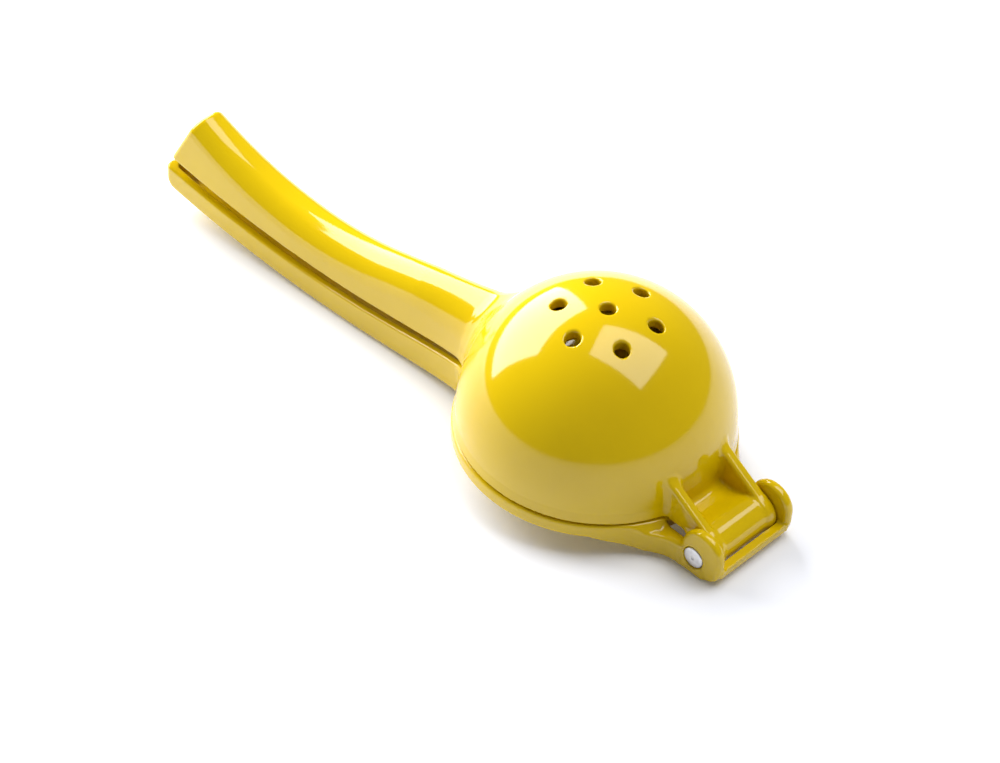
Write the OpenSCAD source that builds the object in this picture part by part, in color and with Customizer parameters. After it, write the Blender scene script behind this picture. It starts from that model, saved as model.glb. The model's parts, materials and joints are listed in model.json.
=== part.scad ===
// Hand citrus squeezer: two cast halves on one hinge pin, lying closed on a table
// with its perforated bowl up. X runs from the handles to the hinge, Y is across.
// The castings are drawn with the bowl's axis upright and the seam at z = 0;
// rest_on_table() then tips them onto the two points the closed tool lies on.

/* [Bowl] */
// Outer radius of the bowl's round part
bowl_r = 36; // [34:0.5:38]
// Thickness of the bowl's wall
bowl_wall = 3; // [2.5:0.25:3.5]
// Height of the short drafted wall between the seam and the round part
rim_h = 3.7; // [3:0.1:5]
// Extra radius of the rim at the seam, from the casting draft
rim_draft = 0.5; // [0:0.1:0.6]
// Diameter of the juice holes
hole_d = 4.1; // [3:0.1:5]
// Number of juice holes in the ring around the middle one
ring_holes = 6; // [4:1:8]
// Radius of the ring of juice holes
ring_r = 12.4; // [9:0.1:15]

/* [Press] */
// Outer radius of the flat flange under the bowl's rim
flange_r = 36.8; // [36.6:0.1:38]
// Thickness of the flange
flange_t = 4.3; // [3.5:0.1:5]
// Outer radius of the pressing dome
press_r = 30; // [28:0.5:31]
// Wall of the hollow pressing dome
press_wall = 3; // [2.5:0.25:3.5]
// Play between the bowl's rim and the flange when closed
seam_gap = 0.3; // [0.2:0.05:0.5]

/* [Handles] */
// Distance from the bowl's axis to the tip of the lower handle
handle_reach = 155.5; // [145:0.5:165]
// How much shorter the upper handle is at its tip
upper_setback = 3.5; // [2:0.5:6]
// Half width of the handles where they leave the bowl
root_half_w = 10.2; // [9:0.1:11]
// Half width of the handles along the grip
grip_half_w = 7.3; // [6.5:0.1:8]
// Half width of the handles at the tip
tip_half_w = 6.9; // [6:0.1:8]
// Wall of both channel-shaped handles
channel_wall = 2.4; // [2:0.1:2.8]
// Depth of the lower handle's channel section at its lowest point
lower_depth = 7.8; // [7:0.1:8.5]
// Height of the gap between the two handles
handle_gap = 3.9; // [3.3:0.1:4.3]
// Radius of the lower handle's underside, seen from the side
sag_r = 351; // [330:1:370]
// Radius of the upper handle's back, seen from the side
back_r = 105; // [100:1:110]

/* [Hinge] */
// Distance from the bowl's axis to the hinge pin
pin_x = 46.9; // [46.5:0.1:47.5]
// Depth of the hinge pin below the seam
pin_drop = 3.05; // [2.8:0.05:3.3]
// Diameter of the hinge pin's shank
pin_d = 5; // [4:0.1:5.2]
// Diameter of the pin's staked heads
pin_head_d = 5.9; // [5.6:0.1:6.2]
// Half width of the hinge over both ears
hinge_half_w = 14.2; // [14:0.1:15]
// Thickness of each ear
ear_t = 2.9; // [2.7:0.1:3.1]
// Radius of the barrel that turns on the pin
barrel_r = 5.2; // [5:0.1:5.3]
// Side play between the barrel and each ear
side_play = 0.3; // [0.2:0.05:0.5]

/* [Hidden] */
$fn = 96;
enamel = "gold";
bare_metal = "silver";
past = 1;             // how far a cutting tool runs past what it cuts
tall = 60;            // taller than any casting

// Bowl and pressing dome
inner_r = bowl_r - bowl_wall;
rim_r = bowl_r + rim_draft;
press_z = 1;          // height of the pressing dome's centre
press_in = press_r - press_wall;

// Long arcs of the handles, seen from the side: x and z of the lowest point, radius
sag = [-112, -20.5, sag_r];                     // lower handle's underside
ledge = [-117, sag[1] + lower_depth, 306.5];    // lower handle's edge
parting = [-114, ledge[1] + handle_gap, 330];   // upper handle's edge
sag_z = sag[1] + sag_r;                         // height of the underside's centre
tip_round = 3.5;      // corner radius under the lower handle's tip
upper_tip = [-(handle_reach - upper_setback), -5.9];
tip_lean = 22;        // lean of the upper handle's end face, degrees

// Upper handle's back: an arc, then a straight rise into the bowl
back_x = -106;
back_low = 2.3;       // height of the back's lowest point
back_z = back_low + back_r;
rise_x = -76;         // where the arc turns straight
rise_a = asin((rise_x - back_x) / back_r);
rise_z = back_z - back_r * cos(rise_a);
back_steps = 32;      // flats along the arc
root_x = -30;         // the handles' inner end, inside the bowl's wall
upper_root_x = -40;   // where the upper channel stops short of the bowl

// Half widths in plan, from the root to the tip
flare_start = -38;
flare_x = -52;
flare_half_w = 8.2;
grip_x = -80;

// Hinge
pin_z = -pin_drop;
ear_in = hinge_half_w - ear_t;
lug_half_w = ear_in - side_play;
bore_play = 0.06;     // radial play of the barrel on the pin
head_sink = 0.8;      // depth of the recess that each pin head sits in
head_play = 0.15;     // radial play of a head in its recess
ear_top = [48.8, -0.5];
ear_top_r = 6.3;
foot_r = 5;           // front lower corner of each ear
foot = [ear_top[0] + ear_top_r - foot_r, -3.5];
foot_z = foot[1] - foot_r;
ear_back = 42.6;
arm_top = -2;         // ledge of the arms, below the flange's face
arm_root = 24;
arm_deep = 34;        // where the arms reach their full depth
fillet_r = 9;         // plan radius where each arm leaves the flange
bar_in = pin_x + barrel_r + 0.5;
bar_top = -3.4;
bar_low = -5.8;
web_t = 3.2;          // gussets at the sides of the lug's pocket
web_top = 12;         // height of the gussets at the bowl
web_a = 59;           // direction from the pin at which they meet the barrel
web_sink = 0.2;       // how far the gussets' feet sink into the barrel
pocket_floor = 0.8;
floor_rise = [3, 0.4, 0.7];   // start of the floor's rise before the pin, height there, height at the pin
lug_low = -1;         // underside of the lug's floor
lug_root = 32;

// The closed tool lies on the ears' front corners and the lower handle's sag:
// the table is the common tangent of those two arcs.
span = [foot[0] - sag[0], sag_z - foot[1]];
rest_tilt = atan2(span[0], span[1]) - acos((sag_r - foot_r) / norm(span));
table_z = -foot[0] * sin(rest_tilt) + foot[1] * cos(rest_tilt) - foot_r;
tip_low_z = sag_z - sqrt(pow(sag_r, 2) - pow(handle_reach + sag[0], 2)) + tip_round;
x_min = (tip_round - handle_reach) * cos(rest_tilt) + tip_low_z * sin(rest_tilt) - tip_round;
x_max = ear_top[0] * cos(rest_tilt) + ear_top[1] * sin(rest_tilt) + ear_top_r;

// Tip the closed tool onto the table, with the origin under the middle of its box
module rest_on_table() {
    translate([-(x_min + x_max) / 2, 0, -table_z])
        rotate([0, rest_tilt, 0])
            children();
}

// A side view drawn in x and z, given its thickness across from y0 to y1
module across(y0, y1) {
    translate([0, y1, 0])
        rotate([90, 0, 0])
            linear_extrude(y1 - y0)
                children();
}

// Side view of everything above a long arc raised by lift, from x0 to x1
module above_arc(arc, lift, x0, x1) {
    intersection() {
        translate([arc[0], arc[1] + arc[2]])
            circle(arc[2] - lift, $fn = 360);
        translate([x0, sag[1] - past])
            square([x1 - x0, tall]);
    }
}

// Plan outline of a handle, inset by its wall for the channel
module handle_plan(inset, x_tip, x_root) {
    linear_extrude(2 * tall, center = true)
        intersection() {
            polygon([
                for (side = [1, -1])
                    for (p = side > 0
                        ? [[root_x, root_half_w], [flare_start, root_half_w], [flare_x, flare_half_w],
                           [grip_x, grip_half_w], [-handle_reach - past, tip_half_w]]
                        : [[-handle_reach - past, tip_half_w], [grip_x, grip_half_w],
                           [flare_x, flare_half_w], [flare_start, root_half_w], [root_x, root_half_w]])
                        [p[0], side * (p[1] - inset)]
            ]);
            translate([x_tip, -tall])
                square([x_root - x_tip, 2 * tall]);
        }
}

// Side view of everything under the upper handle's back, lowered by inset
module under_back(inset) {
    tip_a = asin((-handle_reach - back_x) / back_r);
    polygon([
        [-handle_reach, sag[1]],
        for (i = [0 : back_steps])
            let (a = tip_a + (rise_a - tip_a) * i / back_steps)
                [back_x + (back_r + inset) * sin(a), back_z - (back_r + inset) * cos(a)],
        [root_x, rise_z - inset * cos(rise_a) + (root_x - rise_x) * tan(rise_a)],
        [root_x, sag[1]]
    ]);
}

module upper_handle() {
    half = root_half_w + past;
    difference() {
        intersection() {
            across(-half, half)
                intersection() {
                    under_back(0);
                    above_arc(parting, 0, -handle_reach, root_x);
                }
            handle_plan(0, upper_tip[0], root_x);
        }
        intersection() {
            across(-half, half)
                under_back(channel_wall);
            handle_plan(channel_wall, upper_tip[0] + 2 * channel_wall, upper_root_x);
        }
        translate([upper_tip[0], 0, upper_tip[1]])
            rotate([0, tip_lean, 0])
                translate([-tall, -half, -tall / 2])
                    cube([tall, 2 * half, 2 * tall]);
    }
}

module lower_handle() {
    half = root_half_w + past;
    difference() {
        intersection() {
            across(-half, half)
                difference() {
                    above_arc(sag, 0, -handle_reach, root_x);
                    above_arc(ledge, 0, -handle_reach - past, root_x + past);
                    tip_corner();
                }
            handle_plan(0, -handle_reach, root_x);
        }
        intersection() {
            across(-half, half)
                difference() {
                    above_arc(sag, channel_wall, -handle_reach, root_x);
                    above_arc(ledge, past, -handle_reach - past, root_x + past);
                }
            handle_plan(channel_wall, channel_wall - handle_reach, upper_root_x);
        }
    }
}

// What the rounding takes off the corner under the lower handle's tip
module tip_corner() {
    difference() {
        translate([-handle_reach - past, tip_low_z - tip_round - past])
            square([tip_round + past, tip_round + past]);
        translate([tip_round - handle_reach, tip_low_z])
            circle(tip_round);
    }
}

module juice_holes() {
    translate([0, 0, bowl_r / 2])
        cylinder(h = bowl_r, d = hole_d);
    for (i = [0 : ring_holes - 1])
        rotate((i + 0.5) * 360 / ring_holes)
            translate([ring_r, 0, bowl_r / 2])
                cylinder(h = bowl_r, d = hole_d);
}

// Solid dome: a short drafted wall up to z, then a half sphere
module dome(r, z, r_foot) {
    cylinder(h = z, r1 = r_foot, r2 = r);
    intersection() {
        translate([0, 0, z])
            sphere(r);
        translate([-r, -r, z])
            cube(2 * r);
    }
}

module bowl_cavity() {
    translate([0, 0, -past])
        cylinder(h = rim_h + past, r = inner_r);
    translate([0, 0, rim_h])
        sphere(inner_r);
}

// Floor, barrel and gussets that carry the strainer half on the pin
module hinge_lug() {
    web_r = barrel_r - web_sink;
    web_foot = [pin_x + web_r * cos(web_a), pin_z + web_r * sin(web_a)];
    translate([pin_x, lug_half_w, pin_z])
        rotate([90, 0, 0])
            cylinder(h = 2 * lug_half_w, r = barrel_r);
    across(-lug_half_w, lug_half_w)
        polygon([[lug_root, seam_gap], [flange_r + side_play, seam_gap],
                 [flange_r + side_play, lug_low], [pin_x, lug_low],
                 [pin_x, pocket_floor + floor_rise[2]],
                 [pin_x - floor_rise[0], pocket_floor + floor_rise[1]], [lug_root, pocket_floor]]);
    for (y = [-lug_half_w, lug_half_w - web_t])
        across(y, y + web_t)
            polygon([[lug_root, seam_gap], [pin_x, seam_gap], web_foot, [lug_root, web_top]]);
}

module strainer_half() {
    color(enamel)
        rest_on_table()
            difference() {
                union() {
                    translate([0, 0, seam_gap])
                        dome(bowl_r, rim_h - seam_gap, rim_r);
                    upper_handle();
                    hinge_lug();
                }
                bowl_cavity();
                juice_holes();
                pin_bore(pin_d / 2 + bore_play);
            }
}

module pin_bore(r) {
    translate([pin_x, hinge_half_w + past, pin_z])
        rotate([90, 0, 0])
            cylinder(h = 2 * (hinge_half_w + past), r = r);
}

// Side view of an ear with the arm that carries it
module ear_side() {
    translate(ear_top)
        circle(ear_top_r);
    translate(foot)
        circle(foot_r);
    translate([ear_back, foot[1]])
        square([ear_top[0] + ear_top_r - ear_back, ear_top[1] - foot[1]]);
    translate([arm_deep, foot_z])
        square([foot[0] - arm_deep, arm_top - foot_z]);
    polygon([[arm_root, -flange_t], [arm_deep, foot_z], [arm_deep, arm_top], [arm_root, arm_top]]);
}

// Plan fillet between the flange and the outside of an arm
module arm_fillet() {
    reach = flange_r + fillet_r;
    centre_y = hinge_half_w + fillet_r;
    centre_x = sqrt(pow(reach, 2) - pow(centre_y, 2));
    translate([0, 0, -flange_t])
        linear_extrude(flange_t + arm_top)
            difference() {
                polygon([[arm_root, ear_in], [centre_x, ear_in], [centre_x, centre_y],
                         [centre_x * flange_r / reach, centre_y * flange_r / reach]]);
                translate([centre_x, centre_y])
                    circle(fillet_r);
            }
}

module press_half() {
    color(enamel)
        rest_on_table()
            difference() {
                union() {
                    translate([0, 0, -flange_t])
                        cylinder(h = flange_t, r = flange_r);
                    dome(press_r, press_z, press_r);
                    lower_handle();
                    for (side = [0, 1])
                        mirror([0, side, 0]) {
                            across(ear_in, hinge_half_w)
                                ear_side();
                            arm_fillet();
                        }
                    translate([bar_in, -hinge_half_w, bar_low])
                        cube([ear_top[0] + ear_top_r - bar_in, 2 * hinge_half_w, bar_top - bar_low]);
                }
                translate([0, 0, press_z])
                    sphere(press_in);
                translate([0, 0, -tall])
                    cylinder(h = tall + press_z, r = press_in);
                pin_bore(pin_d / 2);
                for (side = [-1, 1])
                    translate([pin_x, side * hinge_half_w, pin_z])
                        rotate([90, 0, 0])
                            cylinder(h = 2 * head_sink, d = pin_head_d + 2 * head_play, center = true);
            }
}

// Shank with a staked head in each ear, and a small centre dimple in each head
module hinge_pin() {
    dimple_d = 1;
    dimple_t = 0.3;
    proud = 0.2;
    color(bare_metal)
        rest_on_table()
            translate([pin_x, 0, pin_z])
                rotate([90, 0, 0])
                    difference() {
                        union() {
                            cylinder(h = 2 * hinge_half_w, d = pin_d, center = true);
                            for (side = [0, 1])
                                mirror([0, 0, side])
                                    translate([0, 0, hinge_half_w - head_sink])
                                        cylinder(h = head_sink + proud, d = pin_head_d);
                        }
                        for (side = [0, 1])
                            mirror([0, 0, side])
                                translate([0, 0, hinge_half_w + proud - dimple_t])
                                    cylinder(h = dimple_t + past, d = dimple_d);
                    }
}

strainer_half();
press_half();
hinge_pin();
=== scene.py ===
import json
import math

import bpy
import bmesh
import numpy as np
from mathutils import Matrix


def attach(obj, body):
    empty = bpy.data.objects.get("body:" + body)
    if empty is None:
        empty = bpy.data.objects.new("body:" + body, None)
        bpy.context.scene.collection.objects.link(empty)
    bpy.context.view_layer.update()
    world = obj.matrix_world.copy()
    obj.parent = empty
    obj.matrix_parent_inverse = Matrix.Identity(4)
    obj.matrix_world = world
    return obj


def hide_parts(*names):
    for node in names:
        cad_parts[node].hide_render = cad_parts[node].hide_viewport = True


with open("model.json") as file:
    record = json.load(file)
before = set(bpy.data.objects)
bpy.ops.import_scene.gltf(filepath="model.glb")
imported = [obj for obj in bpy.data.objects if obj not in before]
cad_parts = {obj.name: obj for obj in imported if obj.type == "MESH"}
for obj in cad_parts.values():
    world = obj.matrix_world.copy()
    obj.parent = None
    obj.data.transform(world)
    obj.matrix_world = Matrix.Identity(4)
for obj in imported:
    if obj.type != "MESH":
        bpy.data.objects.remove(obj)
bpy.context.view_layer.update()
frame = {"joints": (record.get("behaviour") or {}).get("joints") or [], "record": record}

import openvdb
from mathutils import Matrix, Vector

RECORD = frame["record"]
MM = 0.001

# Hand citrus squeezer: the looks of its two enamelled castings and of its hinge pin.
# Each casting is one distance field, turned into a mesh whose edges and corners are all rounded.

# --- The castings' own frame: millimetres, bowl axis upright, seam at z = 0 -------------------
# Bowl and pressing dome
BOWL_R, BOWL_WALL = 36.0, 3.0
RIM_H, RIM_DRAFT = 3.7, 0.5
HOLE_R, RING_R, RING_HOLES = 2.05, 12.4, 6
SEAM_GAP = 0.3
FLANGE_R, FLANGE_T = 36.8, 4.3
PRESS_R, PRESS_WALL, PRESS_Z = 30.0, 3.0, 1.0

# Handles; each long arc is the x and z of its lowest point, then its radius
REACH, UPPER_SETBACK = 155.5, 2.6
UNDER = (-112.0, -20.5, 351.0)
LEDGE = (-117.0, -12.7, 306.5)
PARTING = (-114.0, -8.8, 330.0)
CHANNEL_WALL = 2.4
# Upper handle's back: x and z of its arc's lowest point, radius, and where it turns straight
BACK_X, BACK_LOW, BACK_R, RISE_X = -106.0, 2.3, 105.0, -76.0
BACK_Z = BACK_LOW + BACK_R
RISE_A = math.asin((RISE_X - BACK_X) / BACK_R)
RISE_Z = BACK_Z - BACK_R * math.cos(RISE_A)
# Half widths at the root, along the grip and at the tip; FLARE and TAPER are lengths along x
ROOT_W, GRIP_W, TIP_W = 10.2, 7.7, 7.2
ROOT_X, FLARE, GRIP_X, TAPER = -38.0, 11.0, -80.0, 75.0
CHANNEL_END, HANDLE_END = -40.0, -20.0
UPPER_TIP, TIP_LEAN = (-(REACH - UPPER_SETBACK), -5.9), math.radians(25)

# Hinge
PIN_X, PIN_Z, PIN_R, BORE_PLAY = 46.9, -3.05, 2.5, 0.06
HINGE_W, EAR_T, SIDE_PLAY = 14.2, 2.9, 0.3
EAR_IN = HINGE_W - EAR_T
LUG_W = EAR_IN - SIDE_PLAY
BARREL_R = 5.2
EAR_TOP, EAR_TOP_R = (48.8, -0.5), 6.3
FOOT_R = 5.0
FOOT = (EAR_TOP[0] + EAR_TOP_R - FOOT_R, -3.5)
FRONT_X = EAR_TOP[0] + EAR_TOP_R
EAR_BACK, ARM_TOP, ARM_ROOT, ARM_DEEP = 42.6, -2.0, 24.0, 34.0
LOW_SCALE = 0.9   # turns a height above the arms' sloping underside into a distance from it
BAR_PLAY, BAR_TOP, BAR_LOW = 0.5, -3.4, -5.8
WEB_T, WEB_A, WEB_PROUD = 3.2, math.radians(59), 0.3
POCKET_FLOOR, LUG_LOW = 0.8, -1.0
HEAD_R, HEAD_SINK, HEAD_PROUD, HEAD_PLAY = 2.95, 0.8, 0.2, 0.15

# Radii of the rounded edges
EDGE, SEAM_EDGE, HOLE_EDGE, CUT_EDGE = 0.7, 0.4, 0.6, 0.2
EAR_EDGE, ARM_EDGE, WEB_EDGE, RIM_EDGE, BAR_EDGE, RECESS_EDGE = 1.2, 1.0, 1.1, 0.9, 0.5, 0.25
# Radii of the fillets in the corners
ROOT_FILLET, ARM_FILLET, DOME_FILLET, LUG_FILLET = 5.5, 9.0, 2.0, 1.6
EAR_FILLET, EAR_FOOT_FILLET, BAR_FILLET, BARREL_FILLET, WEB_FILLET = 1.5, 1.2, 0.9, 3.0, 0.9
# Radii inside the handles' channels
CHANNEL_CORNER, CHANNEL_END_ROUND = 1.5, 2.0

VOXEL = 0.5


# --- Distance fields: negative inside the metal ------------------------------------------------
def both(a, b, r):
    """Intersection of two fields, with the edge where they meet rounded to radius r."""
    corner = np.hypot(np.maximum(a + r, 0), np.maximum(b + r, 0))
    return np.minimum(-r, np.maximum(a, b)) + corner


def either(a, b, r):
    """Union of two fields, with a fillet of radius r in the corner between them."""
    return -both(-a, -b, r)


def without(a, b, r):
    """a with b cut out of it, and the edge of the cut rounded to radius r."""
    return both(a, -b, r)


def disc(x, z, cx, cz, r):
    """A round bar along y."""
    return np.hypot(x - cx, z - cz) - r


def rect(x, z, x0, x1, z0, z1):
    """A rectangular bar along y."""
    dx = np.abs(x - (x0 + x1) / 2) - (x1 - x0) / 2
    dz = np.abs(z - (z0 + z1) / 2) - (z1 - z0) / 2
    return np.hypot(np.maximum(dx, 0), np.maximum(dz, 0)) + np.minimum(np.maximum(dx, dz), 0)


def dome(rho, z, r, z_mid, draft):
    """A half sphere on a short wall that widens by draft down to the seam."""
    wall = rho - r - draft * np.clip(1 - z / z_mid, 0, 2)
    return np.where(z > z_mid, np.hypot(rho, z - z_mid) - r, wall)


def above(x, z, arc):
    """Distance below one of the handles' long arcs; what lies above it is inside."""
    return np.hypot(x - arc[0], z - arc[1] - arc[2]) - arc[2]


def arc_height(x, arc):
    """Height of a long arc at x."""
    return arc[1] + arc[2] - np.sqrt(np.maximum(arc[2] ** 2 - (x - arc[0]) ** 2, 1.0))


def back(x, z):
    """Distance above the upper handle's back: an arc, then a straight rise into the bowl."""
    arc = BACK_R - np.hypot(x - BACK_X, z - BACK_Z)
    rise = (z - RISE_Z - (x - RISE_X) * math.tan(RISE_A)) * math.cos(RISE_A)
    return np.where(x < RISE_X, arc, rise)


def half_width(x):
    """Half width of both handles in plan."""
    flare = (ROOT_W - GRIP_W) * np.exp(np.minimum(x - ROOT_X, 0) / FLARE)
    taper = (GRIP_W - TIP_W) * np.clip((GRIP_X - x) / TAPER, 0, 1)
    return GRIP_W + flare - taper


def upper_handle(x, y, z):
    """Upper handle and its channel: a crowned back with round shoulders that widen to the bowl."""
    crown_r, tip_round = 16.0, 1.4
    draft = math.tan(math.radians(5))
    shoulder = np.interp(x, (-150, -110, -60, -36), (4.4, 5.0, 6.6, 10.0))
    top = np.maximum(back(x, z + y * y / (2 * crown_r)), x - HANDLE_END)
    edge = above(x, z, PARTING)
    side = y - half_width(x) - np.minimum(edge, 0) * draft
    tip = (z - UPPER_TIP[1]) * math.sin(TIP_LEAN) - (x - UPPER_TIP[0]) * math.cos(TIP_LEAN)
    outside = both(both(top, side, shoulder), tip, tip_round)
    channel = both(outside + CHANNEL_WALL, x - CHANNEL_END, CHANNEL_END_ROUND)
    return both(outside, edge, EDGE), channel


def lower_handle(x, y, z):
    """Lower handle and its channel, open at the top."""
    under, tip_round = 2.0, 3.5
    side = y - half_width(x)
    tip = -REACH - x
    bottom = above(x, z, UNDER)
    shell = both(both(bottom, tip, tip_round), side, under)
    shell = both(shell, -above(x, z, LEDGE), EDGE)
    channel = both(bottom + CHANNEL_WALL, side + CHANNEL_WALL, CHANNEL_CORNER)
    channel = both(channel, tip + CHANNEL_WALL, CHANNEL_CORNER)
    channel = both(channel, x - CHANNEL_END, CHANNEL_END_ROUND)
    return shell, channel


def juice_holes(x, y):
    """One hole in the middle and a ring of them around it."""
    centres = [(0.0, 0.0)]
    for i in range(RING_HOLES):
        a = (i + 0.5) * 2 * math.pi / RING_HOLES
        centres.append((RING_R * math.cos(a), RING_R * math.sin(a)))
    return np.minimum.reduce([np.hypot(x - cx, y - cy) - HOLE_R for cx, cy in centres])


def hinge_lug(x, y, z):
    """Barrel on the pin, the pocket's floor, and the gussets at the pocket's two sides."""
    foot_round, web_sink, web_back = 1.6, 1.0, 2.0
    barrel = both(disc(x, z, PIN_X, PIN_Z, BARREL_R), y - LUG_W, EDGE)
    lug_root = BOWL_R - BOWL_WALL
    plate = rect(x, z, lug_root, PIN_X, LUG_LOW, POCKET_FLOOR)
    floor = both(plate, y - LUG_W, foot_round)
    rim = BARREL_R + WEB_PROUD
    slope = (x - PIN_X) * math.cos(WEB_A) + (z - PIN_Z) * math.sin(WEB_A) - rim
    slope = np.maximum(slope, np.maximum(POCKET_FLOOR - web_sink - z, lug_root - web_back - x))
    slope = np.maximum(slope, x - PIN_X - rim * math.cos(WEB_A))
    web = np.minimum(slope, disc(x, z, PIN_X, PIN_Z, rim))
    web = both(web, np.abs(y - LUG_W + WEB_T / 2) - WEB_T / 2, WEB_EDGE)
    return either(either(barrel, floor, BARREL_FILLET), web, WEB_FILLET)


def strainer_field(x, y, z):
    """The upper casting: perforated bowl, upper handle and hinge lug."""
    y = np.abs(y)
    rho = np.hypot(x, y)
    handle, channel = upper_handle(x, y, z)
    body = either(dome(rho, z, BOWL_R, RIM_H, RIM_DRAFT), handle, ROOT_FILLET)
    body = both(body, np.minimum(SEAM_GAP, arc_height(x, PARTING)) - z, SEAM_EDGE)
    body = without(body, channel, EDGE)
    body = either(body, hinge_lug(x, y, z), LUG_FILLET)
    body = without(body, np.maximum(rho - FLANGE_R - SEAM_GAP, z - SEAM_GAP), CUT_EDGE)
    body = without(body, dome(rho, z, BOWL_R - BOWL_WALL, RIM_H, 0.0), EDGE)
    holes = np.maximum(juice_holes(x, y), BOWL_R / 2 - z)
    body = without(body, holes, HOLE_EDGE)
    return without(body, disc(x, z, PIN_X, PIN_Z, PIN_R + BORE_PLAY), CUT_EDGE)


def ear_sides(y):
    """Distance outside the thickness of an ear and its arm."""
    return np.abs(y - (HINGE_W + EAR_IN) / 2) - EAR_T / 2


def ear(x, y, z):
    """Plate that holds the pin, with a round top and a round front foot."""
    side = np.minimum(disc(x, z, *EAR_TOP, EAR_TOP_R), disc(x, z, *FOOT, FOOT_R))
    side = np.minimum(side, rect(x, z, EAR_BACK, FRONT_X, FOOT[1], EAR_TOP[1]))
    side = np.minimum(side, rect(x, z, EAR_BACK, FOOT[0], FOOT[1] - FOOT_R, FOOT[1]))
    return both(side, ear_sides(y), EAR_EDGE)


def arm_low(x):
    """Height of the arms' underside, sloping down from the flange's to the ears' feet."""
    foot_z = FOOT[1] - FOOT_R
    drop = (-FLANGE_T - foot_z) / (ARM_DEEP - ARM_ROOT)
    return np.maximum(foot_z, -FLANGE_T - (x - ARM_ROOT) * drop)


def arm(x, y, z):
    """Bar from the flange to an ear."""
    side = both(z - ARM_TOP, (arm_low(x) - z) * LOW_SCALE, ARM_EDGE)
    side = np.maximum(side, np.maximum(ARM_ROOT - x, x - FOOT[0]))
    return both(side, ear_sides(y), EAR_EDGE)


def flange(x, y, z, rho):
    """Flat ring, its plan filleted into the arms and its face stepping down to them."""
    step_in, step_run = 0.6, 2.4
    strip = np.maximum(ear_sides(y), np.maximum(ARM_ROOT - x, x - EAR_BACK))
    plan = either(rho - FLANGE_R, strip, ARM_FILLET)
    between_arms = np.minimum(rho - FLANGE_R, EAR_IN - y)
    plan = np.where(x > 0, np.maximum(plan, between_arms), plan)
    step = np.clip((rho - FLANGE_R + step_in) / step_run, 0, 1)
    top = ARM_TOP * step * step * (3 - 2 * step)
    low = np.where((y > EAR_IN) & (x > ARM_ROOT), arm_low(x), -FLANGE_T)
    return both(plan, np.maximum(z - top, (low - z) * LOW_SCALE), RIM_EDGE)


def press_field(x, y, z):
    """The lower casting: flange, pressing dome, lower handle, arms, ears and cross-bar."""
    handle_play, bar_into_ear = 0.4, 1.0
    y = np.abs(y)
    rho = np.hypot(x, y)
    handle, channel = lower_handle(x, y, z)
    body = either(flange(x, y, z, rho), handle, ROOT_FILLET)
    body = both(body, z - np.minimum(0, arc_height(x, PARTING) - handle_play), SEAM_EDGE)
    body = either(body, either(arm(x, y, z), ear(x, y, z), EAR_FILLET), EAR_FOOT_FILLET)
    body = without(body, channel, EDGE)
    bar = rect(x, z, PIN_X + BARREL_R + BAR_PLAY, FRONT_X, BAR_LOW, BAR_TOP)
    bar = both(bar, y - EAR_IN - bar_into_ear, BAR_EDGE)
    body = either(body, bar, BAR_FILLET)
    press_dome = np.maximum(np.hypot(rho, z - PRESS_Z) - PRESS_R, -FLANGE_T / 2 - z)
    body = either(body, press_dome, DOME_FILLET)
    hollow = np.where(z > PRESS_Z, np.hypot(rho, z - PRESS_Z), rho) - PRESS_R + PRESS_WALL
    body = without(body, hollow, EDGE)
    recess = np.maximum(disc(x, z, PIN_X, PIN_Z, HEAD_R + HEAD_PLAY), HINGE_W - HEAD_SINK - y)
    return without(body, recess, RECESS_EDGE)


# --- From field to mesh ---------------------------------------------------------------------------
def cast_to_part():
    """Castings' frame to the part's: tilt from the flange's normal, place from the hinge joint."""
    normal = next(m for m in RECORD["mounts"] if m["name"] == "flange_underside")["axis"]
    tilt = math.atan2(-normal[0], -normal[2])
    pin = Vector(frame["joints"][0]["pos_m"])
    turn = Matrix.Rotation(tilt, 4, "Y")
    scale = Matrix.Scale(MM, 4)
    return Matrix.Translation(pin) @ turn @ scale @ Matrix.Translation((-PIN_X, 0, -PIN_Z))


TO_PART = cast_to_part()


def gradient(field, p):
    """Slope of field at each point, by central differences."""
    step = 0.02
    g = np.empty_like(p)
    for axis in range(3):
        shift = np.zeros(3)
        shift[axis] = step
        g[:, axis] = (field(*(p + shift).T) - field(*(p - shift).T)) / (2 * step)
    return g


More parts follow.
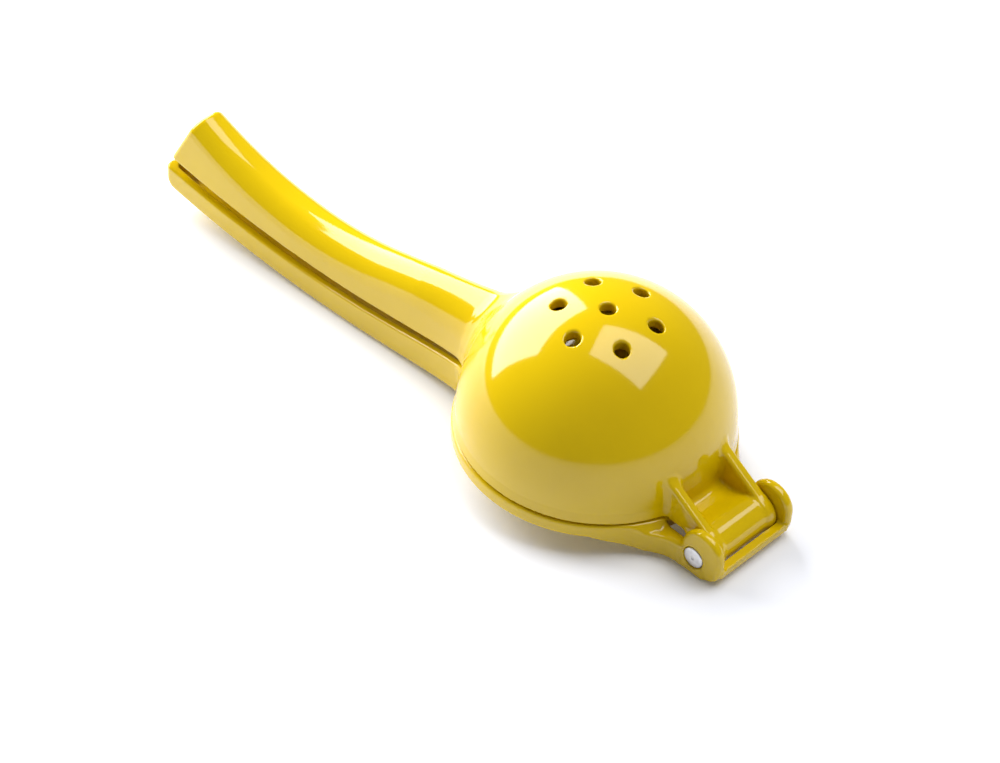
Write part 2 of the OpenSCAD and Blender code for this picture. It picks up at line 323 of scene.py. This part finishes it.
def casting(name, field, low, high):
    """Mesh of field's surface inside the box low to high, its vertices moved onto the true surface.

    The mesh takes the field's own normals, so no facets show.
    """
    slab, band, least_slope, passes = 16, 3 * VOXEL, 0.25, 3
    xs, ys, zs = (np.arange(a, b, VOXEL) for a, b in zip(low, high))
    values = np.empty((len(xs), len(ys), len(zs)), np.float32)
    for i in range(0, len(xs), slab):
        x, y, z = np.meshgrid(xs[i:i + slab], ys, zs, indexing="ij")
        values[i:i + slab] = field(x, y, z)
    grid = openvdb.FloatGrid(band)
    grid.copyFromArray(np.clip(values, -band, band))
    points, quads = grid.convertToQuads(isovalue=0.0)
    p = np.asarray(points, float) * VOXEL + np.array(low)
    for _ in range(passes):
        g = gradient(field, p)
        size = np.maximum((g * g).sum(1), least_slope)
        move = (field(*p.T) / size)[:, None] * g
        p -= np.clip(move, -VOXEL / 2, VOXEL / 2)
    g = gradient(field, p)
    normals = g / np.maximum(np.linalg.norm(g, axis=1, keepdims=True), 1e-6)
    quads = np.asarray(quads, int)
    a, b, c, d = (p[quads[:, k]] for k in range(4))
    facing = (np.cross(c - a, d - b) * normals[quads[:, 0]]).sum(1)
    if facing.mean() < 0:
        quads = quads[:, ::-1]
    turn = np.array(TO_PART.to_3x3())
    mesh = bpy.data.meshes.new(name)
    mesh.from_pydata((p @ turn.T + np.array(TO_PART.translation)).tolist(), [], quads.tolist())
    mesh.polygons.foreach_set("use_smooth", np.ones(len(quads), bool))
    mesh.normals_split_custom_set_from_vertices((normals @ (turn / MM).T).tolist())
    mesh.update()
    return in_scene(name, mesh)


def in_scene(name, data):
    """New object of data, linked to the scene."""
    made = bpy.data.objects.new(name, data)
    bpy.context.scene.collection.objects.link(made)
    return made


def pin_profile():
    """Radius and height of the pin's outline, from its middle to the dimple in one head's face."""
    edge_r, edge_steps, face_drop, crown = 0.3, 6, 0.05, 0.28
    face_rings, ring_spacing, dimple_r = 6, 1 / 9, 0.62
    face = HINGE_W + HEAD_PROUD - face_drop
    seat = HINGE_W - HEAD_SINK
    profile = [(PIN_R, 0.0), (PIN_R, seat), (HEAD_R, seat), (HEAD_R, face - edge_r)]
    for i in range(1, edge_steps + 1):
        a = i / edge_steps * math.pi / 2
        profile.append((HEAD_R - edge_r + edge_r * math.cos(a), face - edge_r + edge_r * math.sin(a)))
    radii = [(HEAD_R - edge_r) * (1 - (i + 1) * ring_spacing) for i in range(face_rings)]
    for r in radii + [dimple_r]:
        profile.append((r, face + crown * (1 - (r / HEAD_R) ** 2)))
    for r, drop in ((0.5, 0.06), (0.4, 0.2), (0.28, 0.3), (0.12, 0.34), (0.0, 0.35)):
        profile.append((r, face + crown - drop))
    return profile


def lathe_pin(name):
    """The pin: shank and two staked heads, each with a crowned face and a centre dimple."""
    segments = 96
    bm = bmesh.new()
    for side in (-1, 1):
        rings = []
        for r, h in pin_profile():
            if r == 0.0:
                rings.append([bm.verts.new((0, side * h, 0))] * segments)
                continue
            angles = [2 * math.pi * k / segments for k in range(segments)]
            rings.append([bm.verts.new((r * math.cos(a), side * h, r * math.sin(a))) for a in angles])
        for lo, hi in zip(rings, rings[1:]):
            for k in range(segments):
                n = (k + 1) % segments
                corners = list(dict.fromkeys([lo[k], lo[n], hi[n], hi[k]]))
                bm.faces.new(corners if side > 0 else corners[::-1])
    bmesh.ops.remove_doubles(bm, verts=bm.verts, dist=1e-4)
    bmesh.ops.recalc_face_normals(bm, faces=bm.faces)
    bmesh.ops.transform(bm, matrix=TO_PART @ Matrix.Translation((PIN_X, 0, PIN_Z)), verts=bm.verts)
    mesh = bpy.data.meshes.new(name)
    bm.to_mesh(mesh)
    bm.free()
    mesh.polygons.foreach_set("use_smooth", np.ones(len(mesh.polygons), bool))
    mesh.set_sharp_from_angle(angle=math.radians(40))
    return in_scene(name, mesh)


# --- Materials ------------------------------------------------------------------------------------
class Nodes:
    """Short-hand for wiring a material's node tree; each scale is in noise cells per metre."""

    def __init__(self, name):
        self.material = bpy.data.materials.new(name)
        self.material.use_nodes = True
        self.tree = self.material.node_tree
        self.shader = self.tree.nodes["Principled BSDF"]

    def add(self, kind, **inputs):
        node = self.tree.nodes.new(kind)
        for key, value in inputs.items():
            node.inputs[key.replace("_", " ")].default_value = value
        return node

    def link(self, source, target):
        self.tree.links.new(source, target)

    def place(self):
        """The object's own coordinates, which ride with it."""
        return self.add("ShaderNodeTexCoord").outputs["Object"]

    def noise(self, place, scale, detail=2.0):
        node = self.add("ShaderNodeTexNoise", Scale=scale, Detail=detail)
        self.link(place, node.inputs["Vector"])
        return node.outputs["Fac"]

    def ramp(self, factor, stops):
        """Colour ramp through stops, each a position and a colour."""
        node = self.add("ShaderNodeValToRGB")
        ramp = node.color_ramp
        while len(ramp.elements) < len(stops):
            ramp.elements.new(0.5)
        for element, (at, colour) in zip(ramp.elements, stops):
            element.position = at
            element.color = (*colour, 1)
        self.link(factor, node.inputs["Fac"])
        return node.outputs["Color"]

    def spread(self, factor, low, high):
        """factor, 0 to 1, spread from low to high."""
        node = self.add("ShaderNodeMapRange", To_Min=low, To_Max=high)
        self.link(factor, node.inputs["Value"])
        return node.outputs["Result"]

    def bump(self, height, distance, strength):
        node = self.add("ShaderNodeBump", Strength=strength, Distance=distance)
        self.link(height, node.inputs["Height"])
        return node.outputs["Normal"]

    def set(self, **inputs):
        """Plain values on the shader's own sockets."""
        for key, value in inputs.items():
            self.shader.inputs[key.replace("_", " ")].default_value = value


def enamel():
    """Glossy yellow enamel over a cast surface: slight drift in colour and gloss, faint orange peel."""
    m = Nodes("yellow_enamel")
    place = m.place()
    deep, light = (0.67, 0.455, 0.0008), (0.72, 0.495, 0.001)
    colour = m.ramp(m.noise(place, 30.0), [(0.3, deep), (0.7, light)])
    m.link(colour, m.shader.inputs["Base Color"])
    m.link(m.spread(m.noise(place, 90.0), 0.06, 0.11), m.shader.inputs["Roughness"])
    peel = m.noise(place, 140.0, 1.0)
    m.link(m.bump(peel, 0.0004, 0.05), m.shader.inputs["Normal"])
    m.set(IOR=1.52)
    return m.material


def pin_metal():
    """Bright soft rivet metal, faintly blotched and hammered."""
    m = Nodes("pin_metal")
    place = m.place()
    dull, bright = (0.72, 0.72, 0.74), (0.86, 0.86, 0.88)
    colour = m.ramp(m.noise(place, 700.0), [(0.3, dull), (0.7, bright)])
    m.link(colour, m.shader.inputs["Base Color"])
    m.link(m.spread(m.noise(place, 1500.0), 0.28, 0.45), m.shader.inputs["Roughness"])
    m.link(m.bump(m.noise(place, 900.0), 0.0003, 0.25), m.shader.inputs["Normal"])
    m.set(Metallic=0.85)
    return m.material


def floor_paper():
    """White paper, slightly cool, its tone barely uneven; a weak glow lifts the deepest shadows."""
    m = Nodes("studio_floor")
    dark, pale = (0.84, 0.86, 0.93), (0.86, 0.88, 0.95)
    colour = m.ramp(m.noise(m.place(), 4.0), [(0.4, dark), (0.6, pale)])
    m.link(colour, m.shader.inputs["Base Color"])
    m.set(Roughness=0.7, Specular_IOR_Level=0.2, Emission_Color=(1, 1, 1, 1), Emission_Strength=0.06)
    return m.material


# Each light is its name; where it is seen from the bowl (azimuth, elevation); where its back points
# (azimuth, elevation, spin), in degrees; its distance, width and height in metres; its power in watts
SOFTBOXES = [
    ("softbox_left", (177.5, 33.0), (173.5, 10.3, 0.0), 1.2, 1.24, 1.03, 34.0),
    ("softbox_top", (61.8, 71.9), (27.5, 48.4, 82.7), 1.3, 1.22, 0.86, 14.0),
]
# Light that the glossy enamel doesn't mirror
FILL = ("fill", (150.0, 65.0), (150.0, 65.0, 0.0), 1.6, 1.6, 1.6, 4.0)


# --- Stage ----------------------------------------------------------------------------------------
def direction(azimuth, elevation):
    """Unit vector towards an azimuth and elevation in degrees."""
    az, el = math.radians(azimuth), math.radians(elevation)
    return Vector((math.cos(az) * math.cos(el), math.sin(az) * math.cos(el), math.sin(el)))


def area_light(name, seen, faced, distance, wide, tall, power):
    """Rectangular softbox, placed as seen from the bowl, its back to the faced direction."""
    data = bpy.data.lights.new(name, "AREA")
    data.energy = power
    data.shape = "RECTANGLE"
    data.size, data.size_y = wide, tall
    light = in_scene(name, data)
    rear = direction(faced[0], faced[1])
    level = Vector((0, 0, 1)).cross(rear).normalized()
    turn = Matrix((level, rear.cross(level), rear)).transposed()
    spin = Matrix.Rotation(math.radians(faced[2]), 3, "Z")
    place = TO_PART @ Vector((0, 0, RIM_H)) + direction(*seen) * distance
    light.matrix_world = Matrix.Translation(place) @ (turn @ spin).to_4x4()
    return light


def studio():
    """Pale floor, dim white room, two softboxes and a fill light."""
    size = 3.0
    mesh = bpy.data.meshes.new("floor")
    corners = [(-size, -size, 0), (size, -size, 0), (size, size, 0), (-size, size, 0)]
    mesh.from_pydata(corners, [], [(0, 1, 2, 3)])
    floor = in_scene("floor", mesh)
    floor.data.materials.append(floor_paper())
    world = bpy.data.worlds.new("room")
    world.use_nodes = True
    background = world.node_tree.nodes["Background"]
    background.inputs["Color"].default_value = (1, 1, 1, 1)
    background.inputs["Strength"].default_value = 0.12
    bpy.context.scene.world = world
    for values in SOFTBOXES:
        area_light(*values)
    area_light(*FILL).visible_glossy = False
    bpy.context.scene.view_settings.view_transform = "Standard"


def camera():
    """Long lens from the front right, looking down at the closed tool, set in the castings' frame."""
    azimuth, elevation, roll = math.radians(41.006), math.radians(44.362), math.radians(4.830)
    distance, lens, sensor = 927.26, 131.0, 36.0
    aim = Vector((-23.545, -11.121, 4.467))
    right = Vector((math.cos(azimuth), math.sin(azimuth), 0))
    level_rear = Vector((math.sin(azimuth), -math.cos(azimuth), 0))
    rear = level_rear * math.cos(elevation) + Vector((0, 0, math.sin(elevation)))
    up = rear.cross(right)
    rolled_right = right * math.cos(roll) + up * math.sin(roll)
    rolled_up = up * math.cos(roll) - right * math.sin(roll)
    turn = TO_PART.to_3x3().normalized() @ Matrix((rolled_right, rolled_up, rear)).transposed()
    data = bpy.data.cameras.new("camera")
    data.lens = lens
    data.sensor_width = sensor
    data.sensor_fit = "HORIZONTAL"
    data.clip_start, data.clip_end = 0.01, 20.0
    made = in_scene("camera", data)
    made.matrix_world = Matrix.Translation(TO_PART @ (aim + rear * distance)) @ turn.to_4x4()
    bpy.context.scene.camera = made


# --- Build ----------------------------------------------------------------------------------------
def build():
    """The three pieces, each riding on its body in place of its CAD node."""
    yellow, metal = enamel(), pin_metal()
    strainer = casting("strainer_casting", strainer_field, (-154, -38, -14), (54, 38.1, 42))
    press = casting("press_casting", press_field, (-158, -39, -24), (57, 39.1, 33))
    pin = lathe_pin("pin_rivet")
    for piece, body, node, slot, material in (
            (strainer, "strainer", "strainer_half", "yellow_enamel", yellow),
            (press, "press", "press_half", "yellow_enamel", yellow),
            (pin, "press", "hinge_pin", "pin_metal", metal)):
        piece.data.materials.append(material)
        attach(piece, body)
        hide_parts(node)


camera()
studio()
build()
